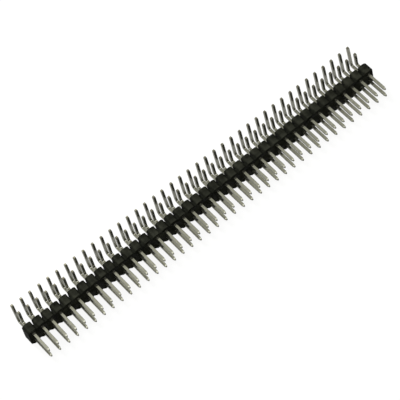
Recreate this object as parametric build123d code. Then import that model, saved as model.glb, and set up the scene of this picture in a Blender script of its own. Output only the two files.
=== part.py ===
from build123d import *
import os

# Double-row right-angle pin header strip, in millimetres.
#
# The strip runs along X. The moulding stands on one long side at Z = 0, the
# mating pins point along -Y and the solder tails point up along +Z, past the
# long side that lies against the circuit board. The origin is the middle of
# the whole outline, mating tips to tail backs, on the surface it stands on.

# Pin field
columns = 40            # pin columns along the strip
pitch = 2.54            # from column to column
row_pitch = 2.54        # between the two rows of mating pins
tail_row_pitch = 2.54   # between the two rows of solder tails

# Moulding
body_depth = 2.54       # thickness, along the mating pins
row_margin = 1.27       # pin row to the nearer long side
top_gap_mouth = 1.22    # bevelled gap between two cells along the board side,
top_gap_floor = 0.34    # its width at the mouth and at the floor,
top_gap_depth = 0.34    # and how deep it goes
low_gap_mouth = 1.66    # the same gap along the side it stands on
low_gap_floor = 0.14
low_gap_depth = 0.62
slot_width = 0.40       # snap slot between cells, cut in from the back
web_thickness = 1.20    # moulding left between two cells, at the front
hole_fit = 0.005        # play between a pin and its square hole, each side

# Pins, drawn square wire
pin_width = 0.64
mating_length = 6.0     # bare pin in front of the moulding
tail_offset = 1.70      # moulding's back to the near row of tails
tail_length = 3.0       # tail past the board side
bend_radius = 0.32      # inside of the bend
mating_point = 0.60     # length of the pointed end
mating_tip = 0.30       # width across the blunt tip
tail_point = 0.36
tail_tip = 0.46

body_height = row_pitch + 2 * row_margin
lower_row = row_margin
upper_row = row_margin + row_pitch
tail_top = body_height + tail_length

# The outline runs from the mating tips to the backs of the far tails.
front_reach = body_depth / 2 + mating_length
back_reach = body_depth / 2 + tail_offset + tail_row_pitch + pin_width / 2
body_y = (front_reach - back_reach) / 2
front_y = body_y - body_depth / 2
back_y = body_y + body_depth / 2
near_tail = back_y + tail_offset
far_tail = near_tail + tail_row_pitch


def column_x(column):
    """Centre of a pin column, counted from 0 at the -X end."""
    return (column - (columns - 1) / 2) * pitch


def gap(mouth, floor, depth):
    """Outline of a bevelled gap between two cells, open along +Y."""
    outline = Polyline((-mouth / 2, 0), (-floor / 2, -depth), (floor / 2, -depth),
                       (mouth / 2, 0), close=True)
    return make_face(outline)


def insulator():
    """The one-piece moulding: a row of bevelled cells joined by thin webs."""
    top, end = body_height / 2, columns * pitch / 2
    joints = [column_x(i + 0.5) for i in range(columns - 1)]
    hole = pin_width + 2 * hole_fit
    outline = Rectangle(columns * pitch, body_height)
    upper = gap(top_gap_mouth, top_gap_floor, top_gap_depth)
    lower = Rot(0, 0, 180) * gap(low_gap_mouth, low_gap_floor, low_gap_depth)
    for x in joints + [-end, end]:
        outline -= [Pos(x, top) * upper, Pos(x, -top) * lower]
    outline -= [Pos(column_x(i), row - top) * Rectangle(hole, hole)
                for i in range(columns) for row in (lower_row, upper_row)]
    upright = Plane(origin=(0, front_y, top), x_dir=(1, 0, 0), z_dir=(0, -1, 0))
    moulding = extrude(upright * outline, -body_depth)
    slot = Box(slot_width, body_depth - web_thickness, body_height,
               align=(Align.CENTER, Align.MAX, Align.MIN))
    return moulding - [Pos(x, back_y, 0) * slot for x in joints]


def point(length, tip):
    """Four-sided point along +Y, from the wire's full section to a blunt tip."""
    low, high = (pin_width - tip) / 2, (pin_width + tip) / 2
    return Wedge(pin_width, length, pin_width, low, low, high, high,
                 align=(Align.CENTER, Align.MIN, Align.CENTER))


def bent_pin(row, tail):
    """A pin of square wire, straight through the moulding and bent up once."""
    start = (0, front_y - mating_length + mating_point, row)
    end = (0, tail, tail_top - tail_point)
    route = FilletPolyline(start, (0, tail, row), end, radius=bend_radius + pin_width / 2)
    across = Plane(origin=start, x_dir=(1, 0, 0), z_dir=(0, 1, 0))
    wire = sweep(across * Rectangle(pin_width, pin_width), route)
    return (wire + Pos(start) * Rot(0, 0, 180) * point(mating_point, mating_tip)
            + Pos(end) * Rot(90, 0, 0) * point(tail_point, tail_tip))


def write(shape, name, colour):
    shape.label = name
    shape.color = Color(*colour)
    export_step(shape, f"parts/{name}.step")


os.makedirs("parts", exist_ok=True)
write(insulator(), "insulator", (0.03, 0.03, 0.032))
long_pin = bent_pin(lower_row, far_tail)
short_pin = bent_pin(upper_row, near_tail)
for i in range(columns):
    here = Pos(column_x(i), 0, 0)
    pair = Compound(children=[here * long_pin, here * short_pin])
    write(pair, f"pin_pair_{i + 1:02d}", (0.78, 0.77, 0.72))
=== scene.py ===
"""Studio scene of a double-row right-angle pin header strip.

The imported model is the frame. Its plain pins and moulding are dressed here: the pins become
drawn and tinned square wire with coined points, and the moulding gets its moulded edges.
"""

import logging
import math
from dataclasses import dataclass, field
from enum import Enum

import bmesh
import bpy
import numpy as np
from mathutils import Matrix, Vector

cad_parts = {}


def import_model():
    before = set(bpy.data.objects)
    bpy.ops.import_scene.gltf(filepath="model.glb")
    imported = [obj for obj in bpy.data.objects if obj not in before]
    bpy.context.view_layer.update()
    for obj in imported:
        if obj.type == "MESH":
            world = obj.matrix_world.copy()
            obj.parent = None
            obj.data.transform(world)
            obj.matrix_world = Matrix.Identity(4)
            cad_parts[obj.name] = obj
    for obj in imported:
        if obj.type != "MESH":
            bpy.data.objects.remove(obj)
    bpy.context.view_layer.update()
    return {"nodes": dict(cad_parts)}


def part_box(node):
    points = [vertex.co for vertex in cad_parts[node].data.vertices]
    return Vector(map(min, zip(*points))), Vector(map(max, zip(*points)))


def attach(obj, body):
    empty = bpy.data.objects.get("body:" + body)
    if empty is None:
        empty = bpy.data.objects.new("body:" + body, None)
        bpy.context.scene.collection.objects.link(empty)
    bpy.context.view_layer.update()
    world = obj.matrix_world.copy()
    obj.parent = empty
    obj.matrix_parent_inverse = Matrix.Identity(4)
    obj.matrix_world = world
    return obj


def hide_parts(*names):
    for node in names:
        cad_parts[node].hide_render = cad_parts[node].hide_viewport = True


LOG = logging.getLogger("pin_header")
MM = 0.001
PITCH = 2.54 * MM
TABLE_SIDE = 6.0
FIRST_SEED = 1000
TONE_SEEDS = 500


class Row(Enum):
    """Which of the two mating rows a pin belongs to."""

    LOWER = "lower"
    UPPER = "upper"


# Finishes


def socket(node: bpy.types.Node, name: str, value: object) -> None:
    """Sets one input of a node.

    Args:
        node: The shader or texture node.
        name: The input's name.
        value: A number, or a colour with alpha.
    """
    node.inputs[name].default_value = value


def maths(
    tree: bpy.types.NodeTree, operation: str, *parts: bpy.types.NodeSocket | float
) -> bpy.types.NodeSocket:
    """Adds a Math node.

    Args:
        tree: The node tree to add to.
        operation: The node's operation.
        *parts: Its inputs in order, each a link's start or a number.

    Returns:
        The node's output.
    """
    node = tree.nodes.new("ShaderNodeMath")
    node.operation = operation
    for slot, part in zip(node.inputs, parts):
        if isinstance(part, bpy.types.NodeSocket):
            tree.links.new(part, slot)
        else:
            slot.default_value = part
    return node.outputs["Value"]


def attribute(tree: bpy.types.NodeTree, name: str) -> bpy.types.NodeSocket:
    """Reads one of the mesh's own attributes.

    Args:
        tree: The node tree to add to.
        name: The attribute's name.

    Returns:
        The attribute's value.
    """
    node = tree.nodes.new("ShaderNodeAttribute")
    node.attribute_name = name
    return node.outputs["Fac"]


@dataclass(frozen=True)
class Finish:
    """A procedural finish, read in Object coordinates.

    Args:
        name: The material's name.
    """

    name: str

    def start(self) -> tuple[bpy.types.Material, bpy.types.NodeTree, bpy.types.Node]:
        """Makes an empty material with a Principled shader.

        Returns:
            The material, its node tree and the shader.
        """
        material = bpy.data.materials.new(self.name)
        material.use_nodes = True
        tree = material.node_tree
        return material, tree, tree.nodes["Principled BSDF"]

    @staticmethod
    def noise(
        tree: bpy.types.NodeTree, stretch: tuple[float, float, float], scale: float, detail: float
    ) -> bpy.types.Node:
        """Adds a noise texture over the object, stretched along its axes.

        Args:
            tree: The node tree to add to.
            stretch: Factors for X, Y and Z before the noise is read.
            scale: The noise's scale.
            detail: The noise's number of octaves.

        Returns:
            The noise node.
        """
        place = tree.nodes.new("ShaderNodeTexCoord")
        mapping = tree.nodes.new("ShaderNodeMapping")
        texture = tree.nodes.new("ShaderNodeTexNoise")
        socket(mapping, "Scale", stretch)
        socket(texture, "Scale", scale)
        socket(texture, "Detail", detail)
        tree.links.new(place.outputs["Object"], mapping.inputs["Vector"])
        tree.links.new(mapping.outputs["Vector"], texture.inputs["Vector"])
        return texture

    @staticmethod
    def ramp(
        tree: bpy.types.NodeTree,
        source: bpy.types.NodeSocket,
        stops: list[tuple[float, tuple[float, float, float]]],
    ) -> bpy.types.Node:
        """Adds a colour ramp behind a value.

        Args:
            tree: The node tree to add to.
            source: The output that drives the ramp.
            stops: Positions and colours, in order.

        Returns:
            The ramp node.
        """
        node = tree.nodes.new("ShaderNodeValToRGB")
        elements = node.color_ramp.elements
        while len(elements) < len(stops):
            elements.new(0.5)
        for element, (position, colour) in zip(elements, stops):
            element.position = position
            element.color = (*colour, 1.0)
        tree.links.new(source, node.inputs["Fac"])
        return node

    @staticmethod
    def levels(
        tree: bpy.types.NodeTree, source: bpy.types.NodeSocket, low: float, high: float
    ) -> bpy.types.Node:
        """Maps the span from 0.3 to 0.7, which most of a noise lies in, to a range.

        Args:
            tree: The node tree to add to.
            source: The output to map.
            low: The result at 0.3.
            high: The result at 0.7.

        Returns:
            The Map Range node.
        """
        node = tree.nodes.new("ShaderNodeMapRange")
        for name, value in (("From Min", 0.3), ("From Max", 0.7), ("To Min", low), ("To Max", high)):
            socket(node, name, value)
        tree.links.new(source, node.inputs["Value"])
        return node

    @staticmethod
    def bump(
        tree: bpy.types.NodeTree,
        height: bpy.types.NodeSocket,
        depth: float,
        strength: float,
        under: bpy.types.Node | None = None,
    ) -> bpy.types.Node:
        """Adds a bump from a height.

        Args:
            tree: The node tree to add to.
            height: The height's output, from 0 to 1.
            depth: The height of 1, in metres.
            strength: The bump's strength.
            under: A bump below this one.

        Returns:
            The bump node.
        """
        node = tree.nodes.new("ShaderNodeBump")
        socket(node, "Distance", depth)
        socket(node, "Strength", strength)
        tree.links.new(height, node.inputs["Height"])
        if under:
            tree.links.new(under.outputs["Normal"], node.inputs["Normal"])
        return node


@dataclass(frozen=True)
class MouldedBlack(Finish):
    """Black glass-filled thermoplastic, straight from the tool: a fine grain and faint flow marks.

    It is painted darker where the mesh marks the recesses between the cells: painted shade, in place of the
    shade that falls there.
    """

    name: str = "moulded_black"
    dark: tuple[float, float, float] = (0.0105, 0.0112, 0.0082)
    light: tuple[float, float, float] = (0.0365, 0.0380, 0.0284)
    tone_span: tuple[float, float] = (0.28, 0.72)
    roughness: tuple[float, float] = (0.44, 0.56)
    refraction: float = 1.52
    shine: float = 0.02
    flow_scale: float = 420.0
    flow_depth: float = 0.020 * MM
    flow_strength: float = 0.25
    grain_scale: float = 9000.0
    grain_depth: float = 0.006 * MM
    grain_strength: float = 0.35
    # How much darker the painted shade makes the recesses between the cells.
    painted_shade_share: float = 0.32

    def make(self) -> bpy.types.Material:
        """Makes the material.

        Returns:
            The material.
        """
        material, tree, shader = self.start()
        flow = self.noise(tree, (1.0, 1.6, 0.8), self.flow_scale, 3.0).outputs["Fac"]
        grain = self.noise(tree, (1.0, 1.0, 1.0), self.grain_scale, 2.0).outputs["Fac"]
        # Painted shade: the tone drops where the recesses between the cells are marked.
        tone = maths(tree, "MULTIPLY_ADD", attribute(tree, "painted_recess_shade"), -self.painted_shade_share, flow)
        colour = self.ramp(tree, tone, list(zip(self.tone_span, (self.dark, self.light))))
        gloss = self.levels(tree, flow, *self.roughness)
        skin = self.bump(tree, flow, self.flow_depth, self.flow_strength)
        pores = self.bump(tree, grain, self.grain_depth, self.grain_strength, under=skin)
        tree.links.new(colour.outputs["Color"], shader.inputs["Base Color"])
        tree.links.new(gloss.outputs["Result"], shader.inputs["Roughness"])
        tree.links.new(pores.outputs["Normal"], shader.inputs["Normal"])
        socket(shader, "IOR", self.refraction)
        socket(shader, "Specular IOR Level", self.shine)
        return material


@dataclass(frozen=True)
class TinPlate(Finish):
    """Bright tin over drawn wire: a warm grey metal with lines along the wire and soft clouding.

    The lines run along the wire, so the mating ends and the tails read their own noise, told
    apart by the mesh's "upright" attribute. "tone" differs a little from pin to pin, and "cut"
    is 1 where a sheared end shows bare metal. A thin matt bloom keeps it short of a full metal.
    """

    name: str = "tin_plate"
    dull: tuple[float, float, float] = (0.385, 0.383, 0.318)
    bright: tuple[float, float, float] = (0.495, 0.492, 0.420)
    bare: tuple[float, float, float] = (0.175, 0.165, 0.120)
    tone_span: tuple[float, float] = (0.28, 0.74)
    roughness: tuple[float, float] = (0.11, 0.17)
    bare_roughness: float = 0.38
    metallic: float = 0.80
    cloud_scale: float = 900.0
    line_scale: float = 1500.0
    across: float = 9.0
    along: float = 0.35
    skin_depth: float = 0.004 * MM
    line_strength: float = 0.20
    cloud_strength: float = 0.06

    def make(self) -> bpy.types.Material:
        """Makes the material.

        Returns:
            The material.
        """
        material, tree, shader = self.start()
        cloud = self.noise(tree, (1.0, 1.0, 1.0), self.cloud_scale, 3.0).outputs["Fac"]
        along_y = self.noise(tree, (self.across, self.along, self.across), self.line_scale, 2.0)
        along_z = self.noise(tree, (self.across, self.across, self.along), self.line_scale, 2.0)
        lines = tree.nodes.new("ShaderNodeMix")
        tree.links.new(attribute(tree, "upright"), lines.inputs["Factor"])
        tree.links.new(along_y.outputs["Fac"], lines.inputs["A"])
        tree.links.new(along_z.outputs["Fac"], lines.inputs["B"])
        shade = maths(tree, "ADD", cloud, attribute(tree, "tone"))
        colour = self.ramp(tree, shade, list(zip(self.tone_span, (self.dull, self.bright))))
        gloss = self.levels(tree, shade, *self.roughness)
        cut = attribute(tree, "cut")
        metal = tree.nodes.new("ShaderNodeMix")
        metal.data_type = "RGBA"
        dulled = tree.nodes.new("ShaderNodeMix")
        for mix in (metal, dulled):
            tree.links.new(cut, mix.inputs["Factor"])
        tree.links.new(colour.outputs["Color"], metal.inputs[6])
        metal.inputs[7].default_value = (*self.bare, 1.0)
        tree.links.new(gloss.outputs["Result"], dulled.inputs[2])
        dulled.inputs[3].default_value = self.bare_roughness
        drawn = self.bump(tree, lines.outputs["Result"], self.skin_depth, self.line_strength)
        skin = self.bump(tree, cloud, self.skin_depth, self.cloud_strength, under=drawn)
        tree.links.new(metal.outputs[2], shader.inputs["Base Color"])
        tree.links.new(dulled.outputs[0], shader.inputs["Roughness"])
        tree.links.new(skin.outputs["Normal"], shader.inputs["Normal"])
        socket(shader, "Metallic", self.metallic)
        return material


# Pins


@dataclass
class Wire:
    """One bent pin, as a rounded square carried along a path in its own upright plane.

    Args:
        x: The pin's column, in metres.
        row: The height of its mating end.
        tip_y: The end of the mating point.
        tail_y: The middle of its tail.
        top: The end of the tail's point.
        lean: How far the bend stops short of a right angle, in radians.
        sway: The tail's lean along the strip, in radians.
        yaw: The mating end's swing along the strip, in radians.
        pivot_y: Where the mating end leaves the moulding.
        width: The wire's width.
        edge: The radius of its long edges.
        bend: The radius of the bend, on the wire's middle line.
        mating_point: The length of the mating point.
        mating_tip: Its width across the tip.
        tail_point: The length of the tail's point.
        tail_tip: Its width across the tip.
        ease: How far a corner between two slopes is eased, each way.
        lead: From the bend to the nearest station on each straight.
        corner_steps: Points on each rounded edge of the section.
        bend_steps: Steps round the bend.
    """

    x: float
    row: float
    tip_y: float
    tail_y: float
    top: float
    lean: float = 0.0
    sway: float = 0.0
    yaw: float = 0.0
    pivot_y: float = 0.0
    width: float = 0.64 * MM
    edge: float = 0.055 * MM
    bend: float = 0.64 * MM
    mating_point: float = 0.60 * MM
    mating_tip: float = 0.30 * MM
    tail_point: float = 0.36 * MM
    tail_tip: float = 0.46 * MM
    ease: float = 0.04 * MM
    lead: float = 0.05 * MM
    corner_steps: int = 4
    bend_steps: int = 12

    def half_width(self, run: np.ndarray, length: float) -> np.ndarray:
        """Half the wire's width at each distance along it.

        It grows in a straight line over each point and is constant between them. Both ends of a
        point are eased over a few hundredths of a millimetre, where coining rounds them.

        Args:
            run: Distances from the mating tip.
            length: The whole wire's length.

        Returns:
            One half width for each distance.
        """
        full, ease = self.width / 2, self.ease
        rounding = 0.4 * ease
        knots, values = [], []
        for point, tip in ((self.mating_point, self.mating_tip / 2), (self.tail_point, self.tail_tip / 2)):
            slope = (full - tip) / point
            knots.append(np.array([0, ease, point - ease, point + ease]))
            values.append(np.array([tip - rounding, tip + slope * ease, full - slope * ease, full]))
        knots[1], values[1] = length - knots[1][::-1], values[1][::-1]
        return np.interp(run, np.concatenate(knots), np.concatenate(values))

    def path(self) -> tuple[np.ndarray, np.ndarray, np.ndarray]:
        """The wire's line: straight along +Y, an arc of one radius, then straight up the tail.

        The arc turns by a right angle less the lean. The tail's line ends at its top, so its
        foot stands nearer to the moulding by the tail's height times the lean's tangent.

        Returns:
            Distances along the line, its points (y, z), and its directions as angles from +Y.
        """
        turn = math.pi / 2 - self.lean
        height = self.top - self.row
        back = self.bend * math.tan(turn / 2)
        flat = self.tail_y - height / math.tan(turn) - back - self.tip_y
        rise = height / math.sin(turn) - back
        ease, point, shoulder = self.ease, self.mating_point, rise - self.tail_point
        first = np.array([0, ease, point - ease, point + ease, flat / 2, flat - self.lead])
        last = np.array([self.lead, rise / 2, shoulder - ease, shoulder + ease, rise - ease, rise])
        angle = np.linspace(0, turn, self.bend_steps + 1)
        run = np.concatenate([first, flat + self.bend * angle, flat + self.bend * turn + last])
        y = [self.tip_y + first, self.tip_y + flat + self.bend * np.sin(angle)]
        y.append(self.tail_y + (last - rise) * math.cos(turn))
        z = [self.row + 0 * first, self.row + self.bend * (1 - np.cos(angle))]
        z.append(self.top + (last - rise) * math.sin(turn))
        facing = np.concatenate([0 * first, angle, 0 * last + turn])
        return run, np.stack([np.concatenate(y), np.concatenate(z)], axis=1), facing

    def section(self) -> tuple[np.ndarray, np.ndarray]:
        """The wire's section: a square of half width 1, whose corners are quarter circles.

        A corner's points are its centre plus its radius times the direction, and that direction
        is the surface's normal there, so the flats between the corners stay flat.

        Returns:
            Corner centres as signs, and outward directions, one pair for each point.
        """
        steps = np.linspace(0, math.pi / 2, self.corner_steps)
        angle = (np.arange(4)[:, None] * math.pi / 2 + steps[None, :]).ravel()
        middle = np.repeat(np.arange(4) * math.pi / 2 + math.pi / 4, self.corner_steps)
        signs = np.sign(np.stack([np.cos(middle), np.sin(middle)], axis=1))
        return signs, np.stack([np.cos(angle), np.sin(angle)], axis=1)

    def bared(self, run: np.ndarray, length: float) -> np.ndarray:
        """How far the plating is gone: all of it on both sheared ends and towards the tail's end.

        Args:
            run: Distances from the mating tip.
            length: The whole wire's length.

        Returns:
            0 where the tin is whole, to 1 on bare metal.
        """
        starts, fades = 0.85 * self.tail_point, 0.5 * self.tail_point
        point = np.clip((run - length + starts) / fades, 0, 1)
        return np.maximum(point, run <= 0)

    def surface(self) -> tuple[np.ndarray, np.ndarray, np.ndarray, np.ndarray]:
        """The wire's skin on a grid of stations by section points.

        A point is the line's point, plus across times X, plus out times the line's left normal.
        The normal is the section's, tipped back by the slope of the half width. The tail then
        turns about the bend by its sway, and the mating end about its hole by its yaw.

        Returns:
            Points, normals, 1 on the tail and 0 on the mating end, and bare metal, on the grid.
        """
        run, line, facing = self.path()
        half = self.half_width(run, run[-1])
        slope = np.gradient(half, run)
        signs, outward = self.section()
        largest = 0.45 * half
        edge = np.minimum(self.edge, largest)[:, None, None]
        flat = (half[:, None, None] - edge) * signs[None] + edge * outward[None]
        left = np.stack([-np.sin(facing), np.cos(facing)], axis=1)
        ahead = np.stack([np.cos(facing), np.sin(facing)], axis=1)
        points = np.empty((len(run), len(signs), 3))
        points[..., 0] = flat[..., 0]
        points[..., 1:] = line[:, None, :] + flat[..., 1:] * left[:, None, :]
        normals = np.empty_like(points)
        normals[..., 0] = outward[None, :, 0]
        normals[..., 1:] = outward[None, :, 1:] * left[:, None, :] - slope[:, None, None] * ahead[:, None, :]
        normals /= np.linalg.norm(normals, axis=2, keepdims=True)
        upright = np.clip(facing / (math.pi / 2), 0, 1)
        weight = upright[:, None, None]
        corner = np.array([0.0, self.tail_y, self.row])
        tail = np.array(Matrix.Rotation(self.sway, 3, "Y"))
        points = points + weight * ((points - corner) @ (tail.T - np.eye(3)))
        swing = np.array(Matrix.Rotation(self.yaw, 3, "Z"))
        root = np.array([0.0, self.pivot_y, self.row])
        reach = 0.5 * MM
        front = np.clip((self.pivot_y - points[..., 1:2]) / reach, 0, 1)
        points = points + front * ((points - root) @ (swing.T - np.eye(3)))
        points[..., 0] += self.x
        spread = [np.repeat(v[:, None], len(signs), axis=1) for v in (upright, self.bared(run, run[-1]))]
        return points, normals, *spread


def skin_faces(rows: int, around: int) -> np.ndarray:
    """Quads over a grid that closes on itself around its section, facing outwards.

    Args:
        rows: Stations along the path.
        around: Points around the section.

    Returns:
        Four vertex numbers for each quad.
    """
    station, point = np.meshgrid(np.arange(rows - 1), np.arange(around), indexing="ij")
    here, ahead = station * around, (station + 1) * around
    beside = (point + 1) % around
    quads = np.stack([here + point, ahead + point, ahead + beside, here + beside], axis=2)
    return quads.reshape(-1, 4)


@dataclass
class PinPair:
    """The long and the short pin of one column, as one dressed piece.

    Args:
        node: The frame's node that the piece stands for.
        x: The column's place along the strip.
        back: The moulding's back face.
        front: The moulding's front face.
        tips: The mating tips.
        top: The tails' ends.
        finish: The pins' material.
        seed: Starts this column's small unevenness.
        rows: The height of each row's mating ends.
        tails: From the moulding's back to the middle of each row's tails.
        leans: How far each row's bend stops short of a right angle.
        spread: The spread of lean, sway and yaw from pin to pin, in degrees.
        short_spread: The spread of the ends' places, in millimetres.
        short_least: How far each end stays inside the CAD's box at least, in millimetres.
        tail_short: How much lower than the CAD's the tails end, as their sway lifts a corner.
        tone_spread: The spread of the tin's tone.
    """

    node: str
    x: float
    back: float
    front: float
    tips: float
    top: float
    finish: bpy.types.Material
    seed: int
    rows: dict[Row, float] = field(
        default_factory=lambda: {Row.LOWER: PITCH / 2, Row.UPPER: 1.5 * PITCH}
    )
    tails: dict[Row, float] = field(
        default_factory=lambda: {Row.LOWER: 1.70 * MM + PITCH, Row.UPPER: 1.70 * MM}
    )
    leans: dict[Row, float] = field(
        default_factory=lambda: {Row.LOWER: math.radians(3.5), Row.UPPER: math.radians(1.0)}
    )
    spread: tuple[float, float, float] = (0.40, 0.45, 0.30)
    short_spread: float = 0.012
    short_least: float = 0.002
    tail_short: float = 0.030 * MM
    tone_spread: float = 0.07

    def wires(self) -> list[Wire]:
        """The column's two wires, each a touch out of true as pressed and bent pins are.

        Returns:
            The long wire and the short one.
        """
        chance = np.random.default_rng(self.seed)
        made = []
        for row in Row:
            lean, sway, yaw = chance.normal(0, 1, 3) * np.radians(self.spread)
            short = (np.abs(chance.normal(0, self.short_spread, 2)) + self.short_least) * MM
            made.append(
                Wire(
                    x=self.x,
                    row=self.rows[row],
                    tip_y=self.tips + short[0],
                    tail_y=self.back + self.tails[row],
                    top=self.top - short[1] - self.tail_short,
                    lean=max(self.leans[row] + lean, 0.0),
                    sway=sway,
                    yaw=yaw,
                    pivot_y=self.front,
                )
            )
        return made

    def build(self) -> bpy.types.Object:
        """Builds the pair's mesh, with exact normals and its three attributes.

        Returns:
            The piece.
        """
        chance = np.random.default_rng(self.seed + TONE_SEEDS)
        points, quads, caps, normals, upright, tone, cut = [], [], [], [], [], [], []
        start = 0
        for wire in self.wires():
            grid, facing, tail, bare = wire.surface()
            rows, around = grid.shape[:2]
            points.append(grid.reshape(-1, 3))
            normals.append(facing.reshape(-1, 3))
            upright.append(tail.reshape(-1))
            cut.append(bare.reshape(-1))
            tone.append(np.full(rows * around, chance.normal(0, self.tone_spread)))
            quads.append(skin_faces(rows, around) + start)
            first = np.arange(around)
            caps += [start + first, start + (rows - 1) * around + first[::-1]]
            start += rows * around
        vertices, facing = np.concatenate(points), np.concatenate(normals)
        sides = np.concatenate(quads)
        faces = [*sides.tolist(), *[cap.tolist() for cap in caps]]
        mesh = bpy.data.meshes.new(self.node + "_tinned")
        mesh.from_pydata(vertices.tolist(), [], faces)
        ends = [np.repeat(self.cap_normal(vertices[cap])[None], len(cap), axis=0) for cap in caps]
        mesh.polygons.foreach_set("use_smooth", np.ones(len(faces), dtype=bool))
        mesh.normals_split_custom_set(np.concatenate([facing[sides.ravel()], *ends]).tolist())
        for name, values in (("upright", upright), ("tone", tone), ("cut", cut)):
            layer = mesh.attributes.new(name, "FLOAT", "POINT")
            layer.data.foreach_set("value", np.concatenate(values).astype(np.float32))
        mesh.materials.append(self.finish)
        piece = bpy.data.objects.new(self.node + "_tinned", mesh)
        bpy.context.scene.collection.objects.link(piece)
        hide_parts(self.node)
        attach(piece, "root")
        return piece

    @staticmethod
    def cap_normal(ring: np.ndarray) -> np.ndarray:
        """The normal of a flat end, from three points of its ring.

        Args:
            ring: The end's points, in order.

        Returns:
            A unit vector that points outwards.
        """
        third = len(ring) // 3
        normal = np.cross(ring[third] - ring[0], ring[2 * third] - ring[0])
        return normal / np.linalg.norm(normal)


# Moulding


@dataclass
class Moulding:
    """The one-piece insulator, with the small radii that its tool leaves on every edge.

    Args:
        node: The frame's node.
        finish: Its material.
        radius: The largest edges' radius.
        back_share: The back's edges, as a share of that radius.
        front_share: The front's edges.
        ridge_share: The edges along the cells' depth, and all others.
        floor_share: The floors of the gaps on the side it stands on.
        hole: The width of a pin's square hole.
        near: How close a corner has to lie to a place to count as there.
        gap_heights: Between which heights the floors of the lower gaps lie.
        recess_depths: Between which depths below the top the floors of the upper gaps, which get painted
            shade, lie.
        gap_reach: How far from a joint a lower gap's floor goes, in pitches.
        recess_reach: How far from a joint an upper gap's painted shade goes, in pitches.
    """

    node: bpy.types.Object
    finish: bpy.types.Material
    radius: float = 0.20 * MM
    back_share: float = 1.0
    front_share: float = 0.41
    ridge_share: float = 0.42
    floor_share: float = 0.19
    hole: float = 0.65 * MM
    near: float = 0.004 * MM
    gap_heights: tuple[float, float] = (0.1 * MM, 0.8 * MM)
    recess_depths: tuple[float, float] = (0.1 * MM, 0.8 * MM)
    gap_reach: float = 0.06
    recess_reach: float = 0.26

    def merged(self) -> bpy.types.Mesh:
        """A copy of the node's loose triangles with its corners joined and its flats whole.

        Corners are matched by rounding them to a tenth of a micrometre, and a triangle's
        numbers follow. Flat neighbours are then dissolved into one face.

        Returns:
            The merged mesh.
        """
        source = self.node.data
        count = len(source.vertices)
        flat = np.empty(count * 3, dtype=np.float32)
        source.vertices.foreach_get("co", flat)
        corners = flat.reshape(-1, 3).astype(float)
        loops = np.empty(len(source.loops), dtype=np.int32)
        source.loops.foreach_get("vertex_index", loops)
        keys = np.round(corners * 1e7).astype(np.int64)
        _, first, number = np.unique(keys, axis=0, return_index=True, return_inverse=True)
        triangles = number.reshape(-1)[loops].reshape(-1, 3)
        a, b, c = triangles.T
        triangles = triangles[(a != b) & (b != c) & (c != a)]
        mesh = bpy.data.meshes.new("insulator_moulded")
        mesh.from_pydata(corners[first].tolist(), [], triangles.tolist())
        work = bmesh.new()
        work.from_mesh(mesh)
        bmesh.ops.dissolve_limit(
            work, angle_limit=math.radians(1.0), verts=work.verts, edges=work.edges, delimit=set()
        )
        work.to_mesh(mesh)
        work.free()
        return mesh

    def weigh(self, mesh: bpy.types.Mesh) -> None:
        """Says how round each edge is, as a share of the largest radius, and which recesses get painted
        shade.

        The back's edges are roundest, the front's and the ridges along the cells' depth are
        tighter, narrow gap floors tighter still, and the pins' holes stay sharp. An edge is known
        by where its two ends lie, and a hole's edge by its ends being corners of a pin's square.
        The recesses that get painted shade are the floors of the upper gaps, known by their depth and by
        lying near a joint.

        Args:
            mesh: The merged moulding.
        """
        spots = np.empty(len(mesh.vertices) * 3, dtype=np.float32)
        mesh.vertices.foreach_get("co", spots)
        spots = spots.reshape(-1, 3).astype(float)
        pairs = np.empty(len(mesh.edges) * 2, dtype=np.int32)
        mesh.edges.foreach_get("vertices", pairs)
        pairs = pairs.reshape(-1, 2)
        low, high = spots.min(axis=0), spots.max(axis=0)
        x, y, z = spots.T
        from_joint = np.abs(x / PITCH - np.round(x / PITCH))
        front, back = np.abs(y - low[1]) < self.near, np.abs(y - high[1]) < self.near
        gap_floor = (z > self.gap_heights[0]) & (z < self.gap_heights[1])
        gap_floor &= from_joint < self.gap_reach
        across, upward = (np.abs((v / PITCH) % 1.0 - 0.5) * PITCH - self.hole / 2 for v in (x, z))
        hole = (np.abs(across) < self.near) & (np.abs(upward) < self.near)
        shares = np.full(len(pairs), self.ridge_share)
        for spot, share in (
            (front, self.front_share),
            (back, self.back_share),
            (gap_floor, self.floor_share),
            (hole, 0.0),
        ):
            shares[spot[pairs].all(axis=1)] = share
        layer = mesh.attributes.new("bevel_weight_edge", "FLOAT", "EDGE")
        layer.data.foreach_set("value", shares.astype(np.float32))
        # Painted shade: marks the floors of the upper gaps, between the cells, to be painted darker.
        depth = high[2] - z
        painted_recess_shade = (depth > self.recess_depths[0]) & (depth < self.recess_depths[1])
        painted_recess_shade &= from_joint < self.recess_reach
        layer = mesh.attributes.new("painted_recess_shade", "FLOAT", "POINT")
        layer.data.foreach_set("value", painted_recess_shade.astype(np.float32))

    def build(self) -> bpy.types.Object:
        """Builds the moulding and rounds its edges.

        Returns:
            The piece.
        """
        mesh = self.merged()
        self.weigh(mesh)
        mesh.materials.append(self.finish)
        mesh.polygons.foreach_set("use_smooth", np.ones(len(mesh.polygons), dtype=bool))
        piece = bpy.data.objects.new("insulator_moulded", mesh)
        bpy.context.scene.collection.objects.link(piece)
        bevel = piece.modifiers.new("edges", "BEVEL")
        bevel.width = self.radius
        bevel.segments = 3
        bevel.limit_method = "WEIGHT"
        bevel.harden_normals = True
        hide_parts("insulator")
        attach(piece, "root")
        return piece


# Studio


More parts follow.
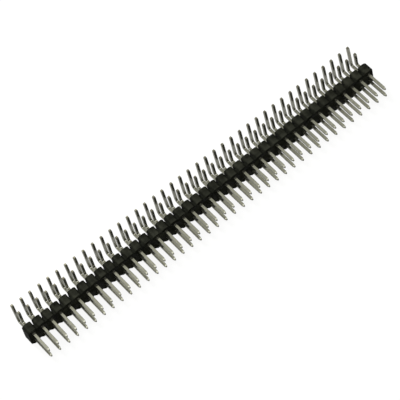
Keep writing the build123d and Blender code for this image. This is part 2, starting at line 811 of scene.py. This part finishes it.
@dataclass
class Studio:
    """A pale table, a pale room, soft lamps and the camera, high and to the left.

    Args:
        floor_tone: How much light the table gives back.
        floor_glow: Its glow to the camera.
        mirrored_glow: Its glow in what the metal mirrors.
        leftward: How much brighter the room is to the left than to the right.
        horizon: The room's light level with the table.
        right: Its light high up on the right.
        left: Its light high up on the left.
        zenith: Its brightest light.
        centre: What the lamps face.
        lens: The camera's focal length, in millimetres.
        place: Where the camera stands.
        turn: Its axes, right, up and back, as columns.
    """

    floor_tone: float = 0.12
    floor_glow: float = 0.905
    mirrored_glow: float = 0.40
    leftward: float = 0.8
    horizon: tuple[float, float, float] = (0.060, 0.060, 0.052)
    right: tuple[float, float, float] = (0.330, 0.330, 0.290)
    left: tuple[float, float, float] = (0.660, 0.660, 0.585)
    zenith: tuple[float, float, float] = (0.740, 0.740, 0.680)
    centre: tuple[float, float, float] = (0.0, 0.0, 0.004)
    lens: float = 209.6
    place: tuple[float, float, float] = (-0.129586, -0.264189, 0.443384)
    turn: tuple[tuple[float, float, float], ...] = (
        (0.767557, 0.592805, -0.243801),
        (-0.623179, 0.601133, -0.500287),
        (-0.150015, 0.535930, 0.830828),
    )

    def floor(self) -> None:
        """Lays a wide pale table under the strip.

        It glows a little to the camera, and a little less in what the metal mirrors, so that it
        shows white around the strip and still takes its shadow.
        """
        half = TABLE_SIDE / 2
        corners = [(-half, -half, 0.0), (half, -half, 0.0), (half, half, 0.0), (-half, half, 0.0)]
        mesh = bpy.data.meshes.new("table")
        mesh.from_pydata(corners, [], [(0, 1, 2, 3)])
        material = bpy.data.materials.new("table_white")
        material.use_nodes = True
        tree = material.node_tree
        shader = tree.nodes["Principled BSDF"]
        tone = self.floor_tone
        socket(shader, "Base Color", (tone, tone, tone, 1.0))
        socket(shader, "Roughness", 0.9)
        socket(shader, "Specular IOR Level", 0.1)
        socket(shader, "Emission Color", (1.0, 1.0, 1.0, 1.0))
        path = tree.nodes.new("ShaderNodeLightPath")
        seen = 0.0
        for ray, glow in (
            ("Is Camera Ray", self.floor_glow),
            ("Is Glossy Ray", self.mirrored_glow),
            ("Is Transmission Ray", self.mirrored_glow),
        ):
            seen = maths(tree, "MULTIPLY_ADD", path.outputs[ray], glow, seen)
        tree.links.new(seen, shader.inputs["Emission Strength"])
        mesh.materials.append(material)
        table = bpy.data.objects.new("table", mesh)
        bpy.context.scene.collection.objects.link(table)

    def room(self) -> None:
        """Fills the room with a pale light, brighter towards the ceiling and to the left.

        A direction's brightness follows its height, times 1 less a share of how far right it is.
        """
        world = bpy.data.worlds.new("room")
        world.use_nodes = True
        tree = world.node_tree
        back = tree.nodes["Background"]
        way = tree.nodes.new("ShaderNodeTexCoord")
        parts = tree.nodes.new("ShaderNodeSeparateXYZ")
        tree.links.new(way.outputs["Generated"], parts.inputs["Vector"])
        side = maths(tree, "MULTIPLY_ADD", parts.outputs["X"], -self.leftward, 1.0)
        height = maths(tree, "MULTIPLY", parts.outputs["Z"], side)
        stops = [(0.0, self.horizon), (0.60, self.right), (0.75, self.left), (1.0, self.zenith)]
        tones = Finish.ramp(tree, height, stops)
        tree.links.new(tones.outputs["Color"], back.inputs["Color"])
        socket(back, "Strength", 1.0)
        bpy.context.scene.world = world

    def lamp(self, name: str, place: tuple[float, float, float], size: float, power: float) -> None:
        """Hangs one square soft lamp that faces the strip.

        Args:
            name: The lamp's name.
            place: Where it hangs, in metres.
            size: Its side.
            power: Its power in watts.
        """
        data = bpy.data.lights.new(name, "AREA")
        data.shape = "SQUARE"
        data.size = size
        data.energy = power
        lamp = bpy.data.objects.new(name, data)
        lamp.location = place
        aim = Vector(self.centre) - Vector(place)
        lamp.rotation_mode = "QUATERNION"
        lamp.rotation_quaternion = aim.to_track_quat("-Z", "Y")
        bpy.context.scene.collection.objects.link(lamp)

    def camera(self) -> None:
        """Sets up the camera, so that the strip rises to the right."""
        data = bpy.data.cameras.new("camera")
        data.sensor_width = 36.0
        data.lens = self.lens
        data.clip_start, data.clip_end = 0.01, 20.0
        camera = bpy.data.objects.new("camera", data)
        camera.matrix_world = Matrix.Translation(self.place) @ Matrix(self.turn).to_4x4()
        bpy.context.scene.collection.objects.link(camera)
        bpy.context.scene.camera = camera

    def build(self) -> None:
        """Builds the whole studio."""
        self.floor()
        self.room()
        self.lamp("overhead", place=(0.12, -0.08, 0.80), size=0.38, power=0.54)
        self.lamp("key", place=(-0.10, 0.78, 0.62), size=0.34, power=9.5)
        self.camera()
        bpy.context.scene.view_settings.view_transform = "Standard"


def column_nodes(frame: dict) -> list[str]:
    """The frame's pin nodes, in order along the strip.


    Returns:
        The nodes' names.
    """
    return sorted(name for name in frame["nodes"] if name.startswith("pin_pair_"))


def main() -> None:
    """Builds the strip and its studio, and reports each piece."""
    logging.basicConfig(level=logging.INFO, format="%(name)s: %(message)s")
    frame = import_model()
    low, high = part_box("insulator")
    tin = TinPlate().make()
    moulding = Moulding(frame["nodes"]["insulator"], MouldedBlack().make()).build()
    LOG.info("%s: %d faces", moulding.name, len(moulding.data.polygons))
    for number, node in enumerate(column_nodes(frame)):
        first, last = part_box(node)
        pair = PinPair(
            node=node,
            x=(first[0] + last[0]) / 2,
            back=high[1],
            front=low[1],
            tips=first[1],
            top=last[2],
            finish=tin,
            seed=FIRST_SEED + number,
        ).build()
        LOG.info("%s: %d faces", pair.name, len(pair.data.polygons))
    Studio().build()


if __name__ == "__main__":
    main()
